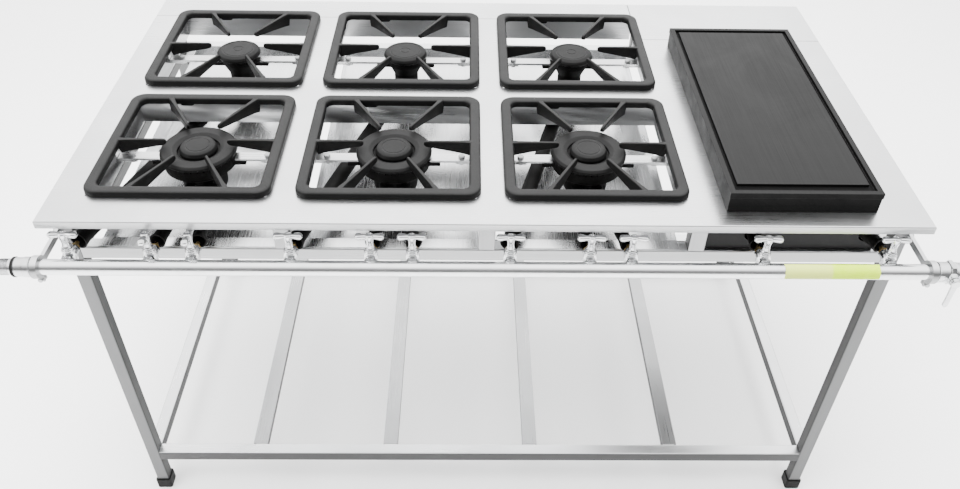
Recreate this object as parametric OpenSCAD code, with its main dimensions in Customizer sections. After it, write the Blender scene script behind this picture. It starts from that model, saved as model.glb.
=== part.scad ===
// Free-standing gas range: six burners in three columns and two rows, and a
// griddle at the right, on a square-tube base with a slatted low shelf.
// X runs from left to right, Y from front to back and Z up from the floor.
// The origin is the bottom centre of the whole envelope.
// Places on the tabletop are given as (u, v): the distance from its left edge
// and the distance behind its front edge.

/* [Tabletop] */
// Width of the tabletop
top_w = 1400; // [1380:10:1420]
// Depth of the tabletop, front edge to rear edge
top_d = 770; // [765:1:780]
// Height of the tabletop above the floor
top_h = 790; // [780:1:800]
// Thickness of the folded sheet
sheet = 1.5; // [1:0.5:2]
// Height of the folded edge round the outside
lip_h = 14; // [10:1:14]
// Depth of the folded walls round each opening
skirt_h = 46; // [40:1:46]

/* [Burner openings] */
// Width and depth of one opening under a grate
opening = 286; // [284:1:288]
// Width of the strip left of the first opening
left_strip = 60; // [58:1:62]
// Width of the strips between burner columns
divider_w = 51; // [50:1:52]
// Depth of the strip in front of the front openings
front_strip = 66; // [65:1:67]
// Depth of the bridges between the two rows
bridge_d = 56; // [54:1:58]

/* [Griddle] */
// Width of the griddle
griddle_w = 242; // [240:1:244]
// Length of the griddle
griddle_l = 550; // [546:1:554]
// Height of the griddle's rim above the tabletop
griddle_h = 38; // [34:1:42]
// Distance of the griddle's centre line from the left edge
griddle_u = 1198; // [1197:1:1199]
// Distance of the griddle's front wall behind the front edge
griddle_v = 34; // [33:1:35]
// How far the griddle laps over its opening on each side
griddle_lap = 8; // [7:1:9]
// Thickness of the griddle's walls
griddle_wall = 10; // [9:1:11]
// Depth of the grease gutter
gutter_deep = 6; // [4:1:7]
// Depth of the side strips beside the griddle
side_strip_end = 607; // [600:1:610]

/* [Base frame] */
// Side of the square tube
tube = 25; // [24:0.5:26]
// Wall of the square tube
tube_wall = 1.5; // [1.2:0.1:2]
// How far the front legs stand behind the front edge
leg_setback = 52; // [50:1:54]
// How far the rear legs stand in front of the rear edge
rear_setback = 3.5; // [3.5:0.5:6]
// How far the upper rails lie below the tabletop
rail_drop = 98; // [96:1:100]
// Height of the shelf's top above the floor
shelf_h = 121; // [100:1:200]
// Width of one shelf slat
slat_w = 30; // [20:1:40]
// Thickness of one shelf slat
slat_t = 15; // [10:1:20]
// Side of a foot cap
foot_side = 31; // [30:1:34]
// Height of a foot cap
foot_h = 26; // [20:1:30]

/* [Grates] */
// Side of a grate
grate_side = 300; // [298:1:302]
// Outer corner radius of a grate
grate_corner = 24; // [20:1:28]
// Width of a grate's rim
rim_w = 20; // [18:1:21]
// Height of a grate's rim
rim_h = 12; // [10:1:14]
// Radius of the circle between the finger tips
tip_r = 52; // [50:1:56]
// How far a grate's fingers reach below the tabletop at the rim
finger_drop = 14; // [8:1:18]

/* [Burners] */
// Diameter of a rear burner's cap
rear_cap_d = 87; // [80:1:92]
// Diameter of a front burner's outer ring
ring_d = 131; // [124:1:132]
// Diameter of a front burner's inner cap
inner_cap_d = 65; // [60:1:68]
// Radius of a rear burner's mixing tube
mixer_r = 13; // [12:0.5:13]
// Width of a burner support bar
bar_w = 21; // [18:1:24]

/* [Gas line] */
// Outside radius of the manifold pipe
pipe_r = 12.7; // [12:0.1:13]
// Wall of the manifold pipe
pipe_wall = 2.1; // [2:0.1:2.5]
// Distance of the pipe's axis in front of the tabletop
pipe_out = 30; // [29:0.5:31]
// Distance of the pipe's axis below the tabletop
pipe_drop = 67; // [66:0.5:68]
// Distance between neighbouring valves of one kind
valve_pitch = 348; // [346:1:350]
// Length of a valve handle
handle_l = 46; // [40:1:46]
// Radius of the threaded nipple at the gas inlet
nipple_r = 13.2; // [13:0.1:13.4]

/* [Hidden] */
$fn = 64;
SMALL = 0.3;

// Envelope of the fittings and the shut-off cock, as (u, v)
end_left = -59;
end_right = 1455;
cock_front = -60;

// Frame position of the tabletop's front left corner
X0 = -(end_left + end_right) / 2;
Y0 = -(cock_front + top_d) / 2;

// Tabletop layout
columns = [0, 1, 2];
opening_u = [for (i = columns) left_strip + i * (opening + divider_w)];
burner_u = [for (u = opening_u) u + opening / 2];
row_v = [front_strip, front_strip + opening + bridge_d];
burner_v = [for (v = row_v) v + opening / 2];
rear_v = row_v[1] + opening;
burners_end_u = opening_u[2] + opening;
well_u0 = griddle_u - griddle_w / 2 + griddle_lap;
well_u1 = griddle_u + griddle_w / 2 - griddle_lap;
well_v0 = griddle_v + griddle_lap;
well_v1 = griddle_v + griddle_l - griddle_lap;
under_top = top_h - sheet;
skirt_z = top_h - skirt_h;

// Base layout
leg_in = 2;
leg_u = [leg_in, top_w - leg_in - tube];
leg_v = [leg_setback, top_d - rear_setback - tube];
rail_top = top_h - rail_drop;
inner_u0 = leg_u[0] + tube;
inner_u1 = leg_u[1];
inner_v0 = leg_v[0] + tube;
inner_v1 = leg_v[1];
slat_u = [234, 508, 803, 1101];
post_w = 28;
post_u = [
  opening_u[1] - divider_w / 2 - 8.5,
  opening_u[2] - divider_w / 2 - 8.5,
  burners_end_u + 30
];

// Drip trays
tray_deep = 20;
tray_half = 146;
tray_sheet = 1;

// Burner supports
bar_top = top_h - 22;
bar_t = 4;
angle_t = 3;
bolt_at = 117;
front_arm = 68;
rear_arm = 48;
rear_boss = 31;

// Gas line
pipe_z = top_h - pipe_drop;
stem_v = -3;
mouth_v = 33;
flare_l = 14;
rear_valve_u = [for (i = columns) 40 + i * valve_pitch];
outer_valve_u = [for (i = columns) 167 + i * valve_pitch];
inner_valve_u = [for (i = columns) 233 + i * valve_pitch];
griddle_valve_u = [1141, 1343];
valve_u = concat(
  [for (i = columns) each [rear_valve_u[i], outer_valve_u[i], inner_valve_u[i]]],
  griddle_valve_u
);
stem_r = 4;
run_gap = 0.05;
arm_t = 6;
arm_u = [leg_in - arm_t / 2, top_w - leg_in + arm_t / 2];
ring_w = 10;
arm_half = 6;
clamp_r = 18.8;
cock_u = 1430;
pipe_u0 = -24;
pipe_u1 = 1420;

steel = "gainsboro";
tube_grey = "darkgray";
chrome = "silver";
iron = "dimgray";
black = "#222222";

// ---- shared shapes ----

// Box between two corners, in (u, v, z)
module block(u, v, z) {
  translate([X0 + u[0], Y0 + v[0], z[0]])
    cube([u[1] - u[0], v[1] - v[0], z[1] - z[0]]);
}

// Moves its children to a place on the tabletop's plan
module at(u, v, z = 0) {
  translate([X0 + u, Y0 + v, z]) children();
}

// Square outline with round corners, centred
module round_square(w, d, r) {
  square([w - 2 * r, d], center = true);
  square([w, d - 2 * r], center = true);
  for (sx = [-1, 1], sy = [-1, 1])
    translate([sx * (w / 2 - r), sy * (d / 2 - r)]) circle(r);
}

// Section of the square tube
module tube_section(side = tube) {
  difference() {
    round_square(side, side, 3);
    round_square(side - 2 * tube_wall, side - 2 * tube_wall, 3 - tube_wall);
  }
}

// Tube along X, by its ends and the corner of its section
module tube_x(u, v, z) {
  at(u[0], v + tube / 2, z + tube / 2)
    rotate([90, 0, 90]) linear_extrude(u[1] - u[0]) tube_section();
}

// Tube along Y
module tube_y(u, v, z) {
  at(u + tube / 2, v[1], z + tube / 2)
    rotate([90, 0, 0]) linear_extrude(v[1] - v[0]) tube_section();
}

// Cylinder along Y, from the front end backwards
module bar_y(r0, r1, l) {
  rotate([-90, 0, 0]) cylinder(h = l, r1 = r0, r2 = r1);
}

// Cylinder along X, from the left end
module bar_x(r, l) {
  rotate([0, 90, 0]) cylinder(h = l, r = r);
}

// Hexagonal prism along Z, by its size across the flats
module hex(af, h) {
  cylinder(h = h, r = af / sqrt(3), $fn = 6);
}

// Flat top plate of one tabletop piece
module plate(u, v) {
  block(u, v, [under_top, top_h]);
}

// Folded wall under a top plate, down to z
module fold(u, v, z) {
  block(u, v, [z, under_top]);
}

// ---- base frame ----

module leg(u, v) {
  at(u + tube / 2, v + tube / 2, foot_h)
    linear_extrude(under_top - foot_h) tube_section();
}

module front_legs() {
  color(tube_grey) for (u = leg_u) leg(u, leg_v[0]);
}

module rear_legs() {
  color(tube_grey) for (u = leg_u) leg(u, leg_v[1]);
}

module foot_caps() {
  plug = tube - 2 * tube_wall - 2 * run_gap;
  color(black)
    for (u = leg_u, v = leg_v)
      at(u + tube / 2, v + tube / 2) {
        linear_extrude(foot_h) round_square(foot_side, foot_side, 4);
        translate([0, 0, foot_h])
          linear_extrude(14) round_square(plug, plug, 1.4);
      }
}

module upper_front_rail() {
  color(tube_grey) tube_x([inner_u0, inner_u1], leg_v[0], rail_top - tube);
}

module upper_rear_rail() {
  color(tube_grey) tube_x([inner_u0, inner_u1], leg_v[1], rail_top - tube);
}

module upper_side_rails() {
  color(tube_grey)
    for (u = leg_u) tube_y(u, [inner_v0, inner_v1], rail_top - tube);
}

module shelf_cross_rails() {
  color(tube_grey)
    for (v = leg_v) tube_x([inner_u0, inner_u1], v, shelf_h - tube);
}

module shelf_side_rails() {
  color(tube_grey)
    for (u = leg_u) tube_y(u, [inner_v0, inner_v1], shelf_h - tube);
}

module shelf_slats() {
  color(steel)
    for (u = slat_u)
      difference() {
        block([u - slat_w / 2, u + slat_w / 2], [inner_v0, inner_v1],
              [shelf_h - slat_t, shelf_h]);
        block([u - slat_w / 2 + sheet, u + slat_w / 2 - sheet],
              [inner_v0 - 1, inner_v1 + 1],
              [shelf_h - slat_t - 1, shelf_h - sheet]);
      }
}

// ---- tabletop ----

module top_front_rail() {
  lip_z = top_h - lip_h;
  color(steel) {
    plate([0, well_u0], [0, front_strip]);
    fold([0, well_u0], [0, sheet], lip_z);
    fold([0, sheet], [sheet, front_strip], lip_z);
    for (u = opening_u)
      fold([u, u + opening], [front_strip - sheet, front_strip], skirt_z);
  }
  color(steel) {
    plate([well_u0, top_w], [0, well_v0]);
    fold([well_u0, top_w], [0, sheet], lip_z);
    fold([top_w - sheet, top_w], [sheet, well_v0], lip_z);
    fold([well_u0, well_u1], [well_v0 - sheet, well_v0], skirt_z);
  }
}

module top_rear_rail() {
  lip_z = top_h - lip_h;
  color(steel) {
    plate([0, burners_end_u], [rear_v, top_d]);
    fold([0, burners_end_u], [top_d - sheet, top_d], lip_z);
    fold([0, sheet], [rear_v, top_d - sheet], lip_z);
    for (u = opening_u)
      fold([u, u + opening], [rear_v, rear_v + sheet], skirt_z);
  }
}

module top_left_rail() {
  color(steel) {
    plate([0, left_strip], [front_strip, rear_v]);
    fold([0, sheet], [front_strip, rear_v], top_h - lip_h);
    fold([left_strip - sheet, left_strip], [front_strip, rear_v], skirt_z);
  }
}

module top_right_rail() {
  color(steel) {
    plate([well_u1, top_w], [well_v0, side_strip_end]);
    fold([top_w - sheet, top_w], [well_v0, side_strip_end], top_h - lip_h);
    fold([well_u1, well_u1 + sheet], [well_v0, well_v1], skirt_z);
  }
}

module top_dividers() {
  color(steel)
    for (i = [1, 2])
      divider(opening_u[i] - divider_w, opening_u[i], rear_v);
  color(steel) divider(burners_end_u, well_u0, side_strip_end);
}

module divider(u0, u1, v1) {
  plate([u0, u1], [front_strip, v1]);
  fold([u0, u0 + sheet], [front_strip, v1], skirt_z);
  fold([u1 - sheet, u1], [front_strip, min(v1, rear_v)], skirt_z);
}

module row_bridges() {
  v0 = row_v[0] + opening;
  v1 = row_v[1];
  color(steel)
    for (u = opening_u) {
      plate([u, u + opening], [v0, v1]);
      fold([u, u + opening], [v0, v0 + sheet], skirt_z);
      fold([u, u + opening], [v1 - sheet, v1], skirt_z);
    }
}

module griddle_rear_panel() {
  lip_z = top_h - lip_h;
  color(steel) {
    plate([burners_end_u, top_w], [side_strip_end, top_d]);
    plate([well_u0, well_u1], [well_v1, side_strip_end]);
    fold([well_u0, well_u1], [well_v1, well_v1 + sheet], skirt_z);
    fold([burners_end_u, burners_end_u + sheet], [side_strip_end, rear_v], skirt_z);
    fold([burners_end_u, top_w], [top_d - sheet, top_d], lip_z);
    fold([top_w - sheet, top_w], [side_strip_end, top_d - sheet], lip_z);
  }
}

module top_posts() {
  wall = 1.5;
  color(steel)
    for (u = post_u, v = leg_v)
      at(u, v + tube / 2, rail_top)
        linear_extrude(under_top - rail_top)
          difference() {
            round_square(post_w, tube, 2.5);
            round_square(post_w - 2 * wall, tube - 2 * wall, 1);
          }
}

// ---- burner wells ----

module drip_trays() {
  v0 = inner_v0 + SMALL;
  v1 = inner_v1 - SMALL;
  z0 = rail_top - tray_deep;
  lap = tube - 3;
  color(steel)
    for (u = burner_u) {
      us = [u - tray_half, u + tray_half];
      block(us, [v0, v1], [z0, z0 + tray_sheet]);
      block([us[0], us[0] + tray_sheet], [v0, v1], [z0, rail_top]);
      block([us[1] - tray_sheet, us[1]], [v0, v1], [z0, rail_top]);
      block(us, [v0, v0 + tray_sheet], [z0, rail_top]);
      block(us, [v1 - tray_sheet, v1], [z0, rail_top]);
      block(us, [v0 - lap, v0 + tray_sheet], [rail_top, rail_top + tray_sheet]);
      block(us, [v1 - tray_sheet, v1 + lap], [rail_top, rail_top + tray_sheet]);
    }
}

// Reach of a support arm from the burner's centre, by row
arm_from = [front_arm - 6, rear_arm - 6];

module support_bars() {
  color(steel)
    for (u = burner_u, row = [0, 1], s = [-1, 1])
      at(u, burner_v[row]) {
        us = [s * arm_from[row], s * (opening / 2 - angle_t - 1)];
        difference() {
          translate([min(us), -bar_w / 2, bar_top - bar_t])
            cube([abs(us[1] - us[0]), bar_w, bar_t]);
          translate([s * bolt_at, 0, bar_top - bar_t - 1])
            cylinder(h = bar_t + 2, r = 3.1);
        }
      }
}

module bar_end_angles() {
  reach = 36;
  color(tube_grey)
    for (u = burner_u, v = burner_v, s = [-1, 1])
      at(u, v, bar_top - bar_t - angle_t) {
        outer = s * opening / 2;
        difference() {
          translate([min(outer, outer - s * reach), -bar_w / 2, 0])
            cube([reach, bar_w, angle_t]);
          translate([s * bolt_at, 0, -1])
            cylinder(h = angle_t + 2, r = 3.1);
        }
        translate([min(outer, outer - s * angle_t), -bar_w / 2, angle_t])
          cube([angle_t, bar_w, 16]);
      }
}

// Hexagon-head bolt along Z, its head's seat at 0, with a nut below
module bolt(grip) {
  hex(10, 4);
  translate([0, 0, -grip - 6]) cylinder(h = grip + 6, r = 3);
  translate([0, 0, -grip - 5])
    difference() {
      hex(10, 5);
      translate([0, 0, -1]) cylinder(h = 7, r = 3 - run_gap);
    }
}

module hex_bolts() {
  color(iron)
    for (u = burner_u, v = burner_v, s = [-1, 1])
      at(u + s * bolt_at, v, bar_top) bolt(bar_t + angle_t);
  color(iron)
    for (s = [0, 1], v = [7, 18])
      at(s * top_w + (1 - 2 * s) * (leg_in - arm_t), leg_v[0] + v, pipe_z)
        rotate([0, s == 0 ? -90 : 90, 0]) hex(8, 4);
  color(iron)
    for (u = arm_u) at(u, -pipe_out - 9, pipe_z - clamp_r - 3) rotate([-90, 0, 0]) hex(7, 4);
}

// ---- burners ----

// Radial gas ports cut round a burner head
module ports(n, r0, r1, z, w, h) {
  for (i = [0:n - 1])
    rotate(i * 360 / n) translate([r0, -w / 2, z]) cube([r1 - r0, w, h]);
}

module rear_burner_body(i) {
  foot_z = pipe_z - mixer_r - 3;
  head_z = top_h - 12;
  difference() {
    union() {
      rotate_extrude()
        polygon([
          [0, foot_z], [20, foot_z], [24, foot_z + 4], [24, pipe_z + 18],
          [34, head_z - 16], [36, head_z - 12], [36, head_z], [0, head_z]
        ]);
      translate([0, 0, pipe_z]) rotate(rear_angle(i))
        translate([0, -rear_boss, 0]) bar_y(15, 15, 16);
    }
    rotate_extrude()
      polygon([
        [0, foot_z + 6], [18, foot_z + 6], [18, pipe_z + 16],
        [28, head_z - 12], [28, head_z + 1], [0, head_z + 1]
      ]);
    translate([0, 0, pipe_z]) rotate(rear_angle(i))
      translate([0, -rear_boss - 1, 0]) bar_y(11, 11, 20);
    ports(24, 25, 40, head_z - 5, 2.6, 6);
  }
  for (s = [-1, 1])
    translate([s * 44 - 14, -bar_w / 2 - 2, bar_top - bar_t - 6])
      cube([28, bar_w + 4, 6]);
}

// Heading of a rear mixing tube, from its mouth to its burner
function rear_angle(i) =
  atan2(rear_valve_u[i] - burner_u[i], burner_v[1] - mouth_v);

module rear_burner_bodies() {
  color(black)
    for (i = columns) at(burner_u[i], burner_v[1]) rear_burner_body(i);
}

// Mixing tube with a flared mouth, along Y from its mouth at the origin
module mixer(l, r) {
  difference() {
    union() {
      bar_y(r + 2.5, r, flare_l);
      translate([0, flare_l, 0]) bar_y(r, r, l - flare_l);
    }
    translate([0, -0.01, 0]) bar_y(r + 0.5, r - 2, flare_l);
    translate([0, flare_l - 0.1, 0]) bar_y(r - 2, r - 2, l);
  }
}

module rear_mixer_tubes() {
  color(black)
    for (i = columns) {
      du = burner_u[i] - rear_valve_u[i];
      dv = burner_v[1] - mouth_v;
      at(rear_valve_u[i], mouth_v, pipe_z)
        rotate(rear_angle(i)) mixer(norm([du, dv]) - rear_boss, mixer_r);
    }
}

module front_burner_body(i) {
  foot_z = pipe_z - 15;
  head_z = top_h - 12;
  ring_r = ring_d / 2 - 4;
  difference() {
    rotate_extrude()
      polygon([
        [0, foot_z], [35, foot_z], [38, foot_z + 3], [40, pipe_z + 16],
        [ring_r, bar_top - 12], [ring_r, head_z], [ring_r - 8, head_z],
        [ring_r - 8, bar_top - 8], [40, bar_top - 12], [40, head_z],
        [32, head_z], [32, pipe_z + 20], [28, pipe_z + 18], [28, head_z],
        [21, head_z], [21, foot_z + 8], [0, foot_z + 8]
      ]);
    ports(36, ring_r - 10, ring_r + 4, head_z - 5, 2.6, 6);
    ports(16, 20, 30, head_z - 4, 2.4, 5);
  }
  for (s = [-1, 1])
    translate([s * 70 - 10, -bar_w / 2 - 2, bar_top - bar_t - 6])
      cube([20, bar_w + 4, 6]);
  front_mixer(i, outer_valve_u[i], -15);
  front_mixer(i, inner_valve_u[i], 15);
}

// Mixing tube cast with a front burner, from valve u to x = to on the body
module front_mixer(i, u, to) {
  du = burner_u[i] + to - u;
  dv = burner_v[0] - 24 - mouth_v;
  translate([u - burner_u[i], mouth_v - burner_v[0], pipe_z])
    rotate(-atan2(du, dv)) mixer(norm([du, dv]), 11);
}

module front_burner_bodies() {
  color(black)
    for (i = columns) at(burner_u[i], burner_v[0]) front_burner_body(i);
}

module front_ring_caps() {
  r = ring_d / 2;
  z = top_h - 12;
  color(iron)
    for (u = burner_u)
      at(u, burner_v[0])
        rotate_extrude()
          polygon([
            [36, z], [r, z], [r, z + 4], [r - 4, z + 8], [44, z + 8], [36, z + 4]
          ]);
}

module rear_cap(i) {
  r = rear_cap_d / 2;
  z = top_h - 12;
  color(iron)
    at(burner_u[i], burner_v[1])
      rotate_extrude()
        polygon([
          [0, z - 5], [26, z - 5], [26, z], [r - 1, z],
          [r, z + 4], [r - 3, z + 9], [r - 10, z + 12], [0, z + 12]
        ]);
}

module inner_cap(i) {
  r = inner_cap_d / 2;
  z = top_h - 12;
  color(iron)
    at(burner_u[i], burner_v[0])
      rotate_extrude()
        polygon([
          [0, z - 4], [20, z - 4], [20, z], [r - 1, z],
          [r, z + 5], [r - 3, z + 11], [r - 8, z + 13], [0, z + 13]
        ]);
}

module rear_cap_1() { rear_cap(0); }
module rear_cap_2() { rear_cap(1); }
module rear_cap_3() { rear_cap(2); }
module inner_cap_1() { inner_cap(0); }
module inner_cap_2() { inner_cap(1); }
module inner_cap_3() { inner_cap(2); }

// ---- grates ----

// One pan support finger, from the rim towards the centre, along +X
module finger(reach) {
  tip_h = 9;
  intersection() {
    translate([0, 10, 0])
      rotate([90, 0, 0]) linear_extrude(20)
        polygon([
          [tip_r, rim_h - tip_h + 2], [tip_r + 3, rim_h - tip_h],
          [reach, -finger_drop], [reach, rim_h], [tip_r + 2, rim_h], [tip_r, rim_h - 2]
        ]);
    translate([0, 0, -50])
      linear_extrude(100)
        polygon([
          [tip_r, -3], [tip_r, 3], [reach, 5.5], [reach, -5.5]
        ]);
  }
}

module grate(column, row) {
  half = grate_side / 2;
  inner = half - rim_w;
  lug = 8;
  color(iron)
    at(burner_u[column], burner_v[row], top_h) {
      linear_extrude(rim_h)
        difference() {
          round_square(grate_side, grate_side, grate_corner);
          round_square(2 * inner, 2 * inner, grate_corner - 12);
        }
      for (a = [0:60:300])
        rotate(a) finger(abs(cos(a)) > 0.9 ? inner + 2 : (inner + 2) / sin(60));
      for (a = [0:90:270])
        rotate(a) translate([opening / 2 - 1 - lug, 40, -6]) cube([lug, 24, 6]);
    }
}

module grate_1() { grate(0, 0); }
module grate_2() { grate(1, 0); }
module grate_3() { grate(2, 0); }
module grate_4() { grate(0, 1); }
module grate_5() { grate(1, 1); }
module grate_6() { grate(2, 1); }

// ---- griddle ----

module griddle_plate() {
  flange = 10;
  floor_t = 12;
  side = 16;
  front = 26;
  rim = 9;
  z1 = top_h + griddle_h;
  u0 = griddle_u - griddle_w / 2;
  u1 = griddle_u + griddle_w / 2;
  v0 = griddle_v;
  v1 = griddle_v + griddle_l;
  color(black)
    difference() {
      union() {
        block([u0 + 1, u1 - 1], [v0 + 1, v1 - 1], [top_h, z1 - flange]);
        block([u0, u1], [v0, v1], [z1 - flange, z1]);
      }
      block([u0 + griddle_wall, u1 - griddle_wall],
            [v0 + griddle_wall, v1 - griddle_wall],
            [top_h - 1, z1 - floor_t - gutter_deep + 4]);
      difference() {
        block([u0 + rim, u1 - rim], [v0 + rim, v1 - rim],
              [z1 - gutter_deep, z1 + 1]);
        block([u0 + side, u1 - side], [v0 + front, v1 - side],
              [z1 - gutter_deep - 1, z1 - 1]);
      }
    }
}

module griddle_burner_box() {
  u0 = 1066;
  u1 = 1348.5;
  v0 = 60;
  v1 = inner_v1 + 12;
  z1 = skirt_z - 2;
  color(black)
    difference() {
      block([u0, u1], [v0, v1], [rail_top, z1]);
      block([u0 + sheet, u1 - sheet], [v0 + sheet, v1 - sheet],
            [rail_top + sheet, z1 + 1]);
      at(griddle_valve_u[0], v0 - 1, pipe_z) bar_y(14, 14, sheet + 2);
      at(griddle_valve_u[1] - 11.8, v0 - 1, pipe_z) bar_y(14, 14, sheet + 2);
    }
}

module griddle_tube_burners() {
  r = 10.6;
  straight_u = 2 * griddle_u - griddle_valve_u[0];
  bend_v = 240;
  end_v = 560;
  du = straight_u - griddle_valve_u[1];
  dv = bend_v - mouth_v;
  color(iron)
    at(griddle_valve_u[0], mouth_v, pipe_z) mixer(end_v - mouth_v, r);
  color(iron) {
    at(griddle_valve_u[1], mouth_v, pipe_z)
      rotate(-atan2(du, dv)) mixer(norm([du, dv]), r);
    at(straight_u, bend_v, pipe_z) sphere(r + 3);
    at(straight_u, bend_v, pipe_z) bar_y(r, r, end_v - bend_v);
  }
}

// ---- gas line ----

module manifold_pipe() {
  color(chrome)
    difference() {
      at(pipe_u0, -pipe_out, pipe_z) bar_x(pipe_r, pipe_u1 - pipe_u0);
      at(pipe_u0 - 1, -pipe_out, pipe_z)
        bar_x(pipe_r - pipe_wall, pipe_u1 - pipe_u0 + 2);
      for (u = valve_u) at(u, -pipe_out, pipe_z) bar_y(7, 7, pipe_r + 1);
    }
}

// Arm on the leg's outer face, with a clamp ring round the pipe
module bracket() {
  reach = leg_v[0] + tube + pipe_out;
  difference() {
    union() {
      translate([-arm_t / 2, 0, -arm_half]) cube([arm_t, reach, 2 * arm_half]);
      translate([-ring_w / 2, 0, 0]) bar_x(clamp_r, ring_w);
      translate([-ring_w / 2, -5, -clamp_r - 8]) cube([ring_w, 10, 14]);
    }
    translate([-ring_w, 0, 0]) bar_x(pipe_r + run_gap, 2 * ring_w);
    translate([-ring_w, -1, -clamp_r - 10]) cube([2 * ring_w, 2, 12]);
  }
}

module pipe_brackets() {
  color(tube_grey) for (u = arm_u) at(u, -pipe_out, pipe_z) bracket();
}

module valve_body() {
  difference() {
    union() {
      translate([0, -pipe_out + 8, 0]) bar_y(7 - run_gap, 7 - run_gap, 12);
      translate([0, -17, 0]) rotate([-90, 0, 0]) hex(20, 5);
      translate([0, -13, 0]) bar_y(8.5, 8.5, 26);
      translate([0, stem_v, -12]) cylinder(h = 28, r = 10.5);
      translate([0, stem_v, 14]) cylinder(h = 4, r = 9);
      translate([0, 10, 0]) rotate([-90, 0, 0]) hex(17, 5);
    }
    translate([0, stem_v, 4]) cylinder(h = 20, r = stem_r + run_gap);
  }
  translate([0, stem_v, -15]) hex(12, 4);
}

module valve_bodies() {
  color(chrome) for (u = valve_u) at(u, 0, pipe_z) valve_body();
}

module injectors() {
  color("goldenrod")
    for (u = valve_u)
      at(u, 15, pipe_z)
        difference() {
          union() {
            rotate([-90, 0, 0]) hex(13, 5);
            translate([0, 4, 0]) bar_y(5, 3, 11);
          }
          translate([0, 9, 0]) bar_y(0.8, 0.8, 8);
        }
}

// Wing handle on its stem, turned by turn from lying along the pipe
module valve_handle(i, turn = 0) {
  wing_z = 39;
  wing_t = 9;
  end_r = 6;
  color(chrome)
    at(valve_u[i], stem_v, pipe_z) rotate(turn) {
      translate([0, 0, 5]) cylinder(h = 14, r = stem_r);
      translate([0, 0, 18 + SMALL]) cylinder(h = 14, r1 = 7.5, r2 = 5.5);
      translate([0, 0, 30]) cylinder(h = wing_z - 30 + wing_t, r = 6.5);
      translate([0, 0, wing_z])
        linear_extrude(wing_t)
          for (s = [-1, 1]) {
            translate([s * (handle_l / 2 - end_r), 0]) circle(end_r);
            polygon([
              [0, -4], [s * (handle_l / 2 - end_r), -end_r],
              [s * (handle_l / 2 - end_r), end_r], [0, 4]
            ]);
          }
    }
}

module valve_handle_1() { valve_handle(0); }
module valve_handle_2() { valve_handle(1, 90); }
module valve_handle_3() { valve_handle(2, 90); }
module valve_handle_4() { valve_handle(3); }
module valve_handle_5() { valve_handle(4); }
module valve_handle_6() { valve_handle(5); }
module valve_handle_7() { valve_handle(6); }
module valve_handle_8() { valve_handle(7); }
module valve_handle_9() { valve_handle(8); }
module valve_handle_10() { valve_handle(9); }
module valve_handle_11() { valve_handle(10); }

module inlet_coupling() {
  color(chrome)
    at(-33, -pipe_out, pipe_z)
      difference() {
        union() {
          bar_x(15.5, 24);
          translate([14, 0, 0]) bar_x(16.5, 10);
        }
        translate([9, 0, 0]) bar_x(pipe_r + run_gap, 20);
        translate([-1, 0, 0]) bar_x(8, 12);
      }
}

// Inlet nipple with its sealing collar and the spigot inside the coupling
module inlet_nipple() {
  color(chrome)
    at(end_left, -pipe_out, pipe_z)
      difference() {
        union() {
          bar_x(nipple_r, 21);
          translate([21, 0, 0]) bar_x(16.2, 5);
          translate([25, 0, 0]) bar_x(8 - run_gap, 9);
        }
        translate([-1, 0, 0]) bar_x(9.5, 18);
        translate([-1, 0, 0]) bar_x(5.5, 40);
      }
}

module shutoff_cock() {
  u0 = 1408.8;
  color(chrome)
    at(u0, -pipe_out, pipe_z)
      difference() {
        union() {
          bar_x(17, 18);
          translate([17, 0, 0]) rotate([0, 90, 0]) hex(34, 9);
          translate([26, 0, 0]) bar_x(16.5, end_right - u0 - 26);
          translate([cock_u - u0, -22, 0]) bar_y(9, 9, 10);
        }
        translate([-1, 0, 0]) bar_x(pipe_r + run_gap, pipe_u1 - u0 + 1.5);
        bar_x(8, 20);
        translate([cock_u - u0, -23, 0])
          bar_y(stem_r + run_gap, stem_r + run_gap, 10);
      }
}

module shutoff_lever() {
  front = cock_front + pipe_out;
  color(chrome)
    at(cock_u, -pipe_out, pipe_z) {
      translate([0, front + 4, 0]) bar_y(stem_r, stem_r, 12);
      translate([0, front, 0]) bar_y(8, 8, 8 - SMALL);
      translate([0, front + 6, 0])
        rotate([90, 0, 0])
          linear_extrude(5) {
            polygon([[-5, 0], [5, 0], [4, -46], [-4, -46]]);
            translate([0, -46]) circle(4);
          }
    }
}

module blank_label() {
  r = pipe_r + 0.1;
  color("#d9e26a")
    at(1166, -pipe_out, pipe_z)
      rotate([90, 0, 90]) linear_extrude(150)
        intersection() {
          difference() {
            circle(r + 0.4);
            circle(r);
          }
          polygon([[0, 0], [6, 30], [-30, 30], [-30, -12]]);
        }
}

// ---- output ----

front_legs();
rear_legs();
foot_caps();
upper_front_rail();
upper_rear_rail();
upper_side_rails();
shelf_cross_rails();
shelf_side_rails();
shelf_slats();
top_front_rail();
top_rear_rail();
top_left_rail();
top_right_rail();
top_dividers();
row_bridges();
griddle_rear_panel();
top_posts();
drip_trays();
support_bars();
bar_end_angles();
hex_bolts();
rear_burner_bodies();
rear_mixer_tubes();
front_burner_bodies();
front_ring_caps();
griddle_burner_box();
griddle_tube_burners();
manifold_pipe();
pipe_brackets();
valve_bodies();
injectors();
inlet_coupling();
inlet_nipple();
shutoff_cock();
blank_label();
grate_1();
grate_2();
grate_3();
grate_4();
grate_5();
grate_6();
griddle_plate();
rear_cap_1();
rear_cap_2();
rear_cap_3();
inner_cap_1();
inner_cap_2();
inner_cap_3();
valve_handle_1();
valve_handle_2();
valve_handle_3();
valve_handle_4();
valve_handle_5();
valve_handle_6();
valve_handle_7();
valve_handle_8();
valve_handle_9();
valve_handle_10();
valve_handle_11();
shutoff_lever();
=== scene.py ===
import math
import bmesh
import bpy
from mathutils import Matrix, Vector


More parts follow.
